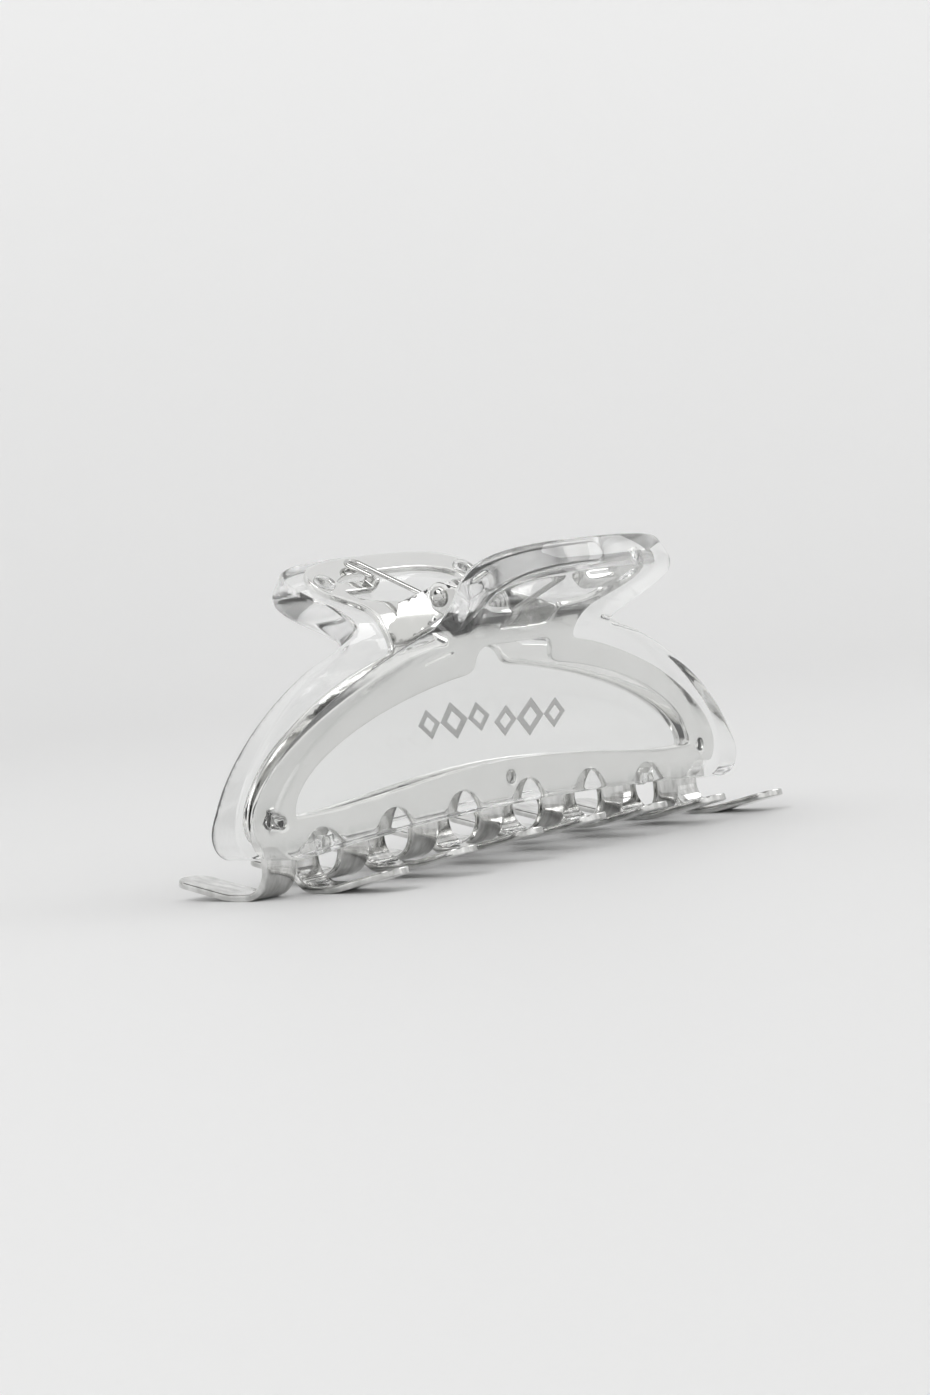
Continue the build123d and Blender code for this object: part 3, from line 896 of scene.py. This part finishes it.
parts = (("frame", steel_shape(), bright_steel, "polished_steel"),
         ("shell", shell_shape(), clear_plastic, "clear_plastic"),
         ("motif", print_shape(), silver_print, "silver_print"))
for jaw, turned in (("front", False), ("rear", True)):
    for part, shape, material, slot in parts:
        made = piece(f"{jaw}_{part}_look", shape, material, turned)
        fit_out(made, f"{jaw}_jaw", slot, f"{jaw}_{part}")

pin = piece("rivet_pin", pin_shape(), pin_steel)
fit_out(pin, "front_jaw", "pin_steel", "hinge_pin")

spring = piece("spring_wire", spring_shape(), wire_steel)
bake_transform(spring)
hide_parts("torsion_spring")


# ---- floor, light and camera --------------------------------------------------------
# Sizes and places of the studio are in metres.
floor_half_width, floor_front, floor_back, floor_bend, backdrop_height = 5.0, -9.0, 0.75, 0.35, 1.3
floor_level_end = 0.35         # the last edge on the level, before the bend begins
floor_heading = radians(49.7)  # the floor runs back the way the camera looks

world_light = 0.98
dark_core = 0.7                # a dark place is at its darkest within this share of its half width
# (heading, height, half width, light) of the dark places in the surroundings
dark_places = ((radians(305), radians(32), radians(22), 0.06),
               (radians(20), radians(14), radians(13), 0.10),
               (radians(0), radians(90), radians(24), 0.06),
               (radians(215), radians(40), radians(16), 0.10))


def studio_floor():
    """Pale floor that runs back and curves up into the backdrop, on the camera's far side."""
    steps = 24
    line = [(floor_front, 0.0), (0.0, 0.0), (floor_level_end, 0.0)]
    for i in range(steps + 1):
        a = pi / 2 * i / steps
        line.append((floor_back - floor_bend * (1 - sin(a)), floor_bend * (1 - cos(a))))
    line.append((floor_back, backdrop_height))
    across = Vector((cos(floor_heading), -sin(floor_heading), 0)) * floor_half_width
    away = Vector((sin(floor_heading), cos(floor_heading), 0))
    points = [away * d + Vector((0, 0, z)) + across * side for d, z in line for side in (-1, 1)]
    faces = [(2 * i, 2 * i + 1, 2 * i + 3, 2 * i + 2) for i in range(len(line) - 1)]
    mesh = bpy.data.meshes.new("studio_floor")
    mesh.from_pydata(points, [], faces)
    mesh.polygons.foreach_set("use_smooth", [True] * len(mesh.polygons))
    material, tree, shader = new_material("pale_floor")
    shader.inputs["Roughness"].default_value = 0.55
    paper = noise(tree, scale=900)
    level = tinted(tree, paper, (0.805, 0.805, 0.805), (0.815, 0.815, 0.815))
    upright = tinted(tree, paper, (0.945, 0.945, 0.945), (0.955, 0.955, 0.955))
    colour = tinted(tree, height_share(tree, 0.0, 300.0), level, upright)
    tree.links.new(colour, shader.inputs["Base Color"])
    mesh.materials.append(material)
    floor = bpy.data.objects.new("studio_floor", mesh)
    bpy.context.scene.collection.objects.link(floor)


def soft_light(name, place, aim, size, power):
    """A square area light that shines from its place at its aim."""
    data = bpy.data.lights.new(name, "AREA")
    data.shape = "SQUARE"
    data.size = size
    data.energy = power
    lamp = bpy.data.objects.new(name, data)
    lamp.location = place
    lamp.rotation_mode = "QUATERNION"
    lamp.rotation_quaternion = (Vector(aim) - Vector(place)).to_track_quat("-Z", "Y")
    bpy.context.scene.collection.objects.link(lamp)


def studio_world():
    """Bright, even surroundings with a few soft dark places, which give the metal its contrast."""
    world = bpy.data.worlds.new("studio")
    bpy.context.scene.world = world
    world.use_nodes = True
    tree = world.node_tree
    place = tree.nodes.new("ShaderNodeTexCoord")
    level = None
    for heading, height, reach, light in dark_places:
        aim = (sin(heading) * cos(height), cos(heading) * cos(height), sin(height))
        near = tree.nodes.new("ShaderNodeVectorMath")
        near.operation = "DOT_PRODUCT"
        near.inputs[1].default_value = aim
        tree.links.new(place.outputs["Generated"], near.inputs[0])
        spot = ranged(tree, near.outputs["Value"], world_light, light, cos(reach), cos(dark_core * reach))
        if level is None:
            level = spot
            continue
        darker = tree.nodes.new("ShaderNodeMath")
        darker.operation = "MINIMUM"
        tree.links.new(level, darker.inputs[0])
        tree.links.new(spot, darker.inputs[1])
        level = darker.outputs[0]
    tree.links.new(level, tree.nodes["Background"].inputs["Strength"])
    tree.nodes["Background"].inputs["Color"].default_value = (1.0, 1.0, 0.995, 1)


camera_place = Vector((-393.22, -330.27, 49.59)) * MM
camera_heading, camera_dip, camera_roll = radians(49.69), radians(3.03), radians(5.45)
lens_length, sensor_width = 93.47, 36.0


def studio_camera():
    """A long lens, low and to the left of the clip's front, turned a little about its own axis."""
    level = cos(camera_dip)
    look = Vector((sin(camera_heading) * level, cos(camera_heading) * level, -sin(camera_dip)))
    data = bpy.data.cameras.new("camera")
    data.sensor_width = sensor_width
    data.lens = lens_length
    data.clip_start, data.clip_end = 0.01, 20
    camera = bpy.data.objects.new("camera", data)
    camera.location = camera_place
    camera.rotation_mode = "QUATERNION"
    camera.rotation_quaternion = look.to_track_quat("-Z", "Y") @ Quaternion((0, 0, 1), -camera_roll)
    bpy.context.scene.collection.objects.link(camera)
    bpy.context.scene.camera = camera


studio_floor()
studio_world()
soft_light("key", place=(-0.55, 0.1, 0.75), aim=(0, 0, 0.02), size=0.6, power=2.4)
soft_light("side", place=(0.69, -0.24, 0.53), aim=(0, 0, 0.03), size=0.26, power=0.7)
studio_camera()
bpy.context.scene.view_settings.view_transform = "Standard"
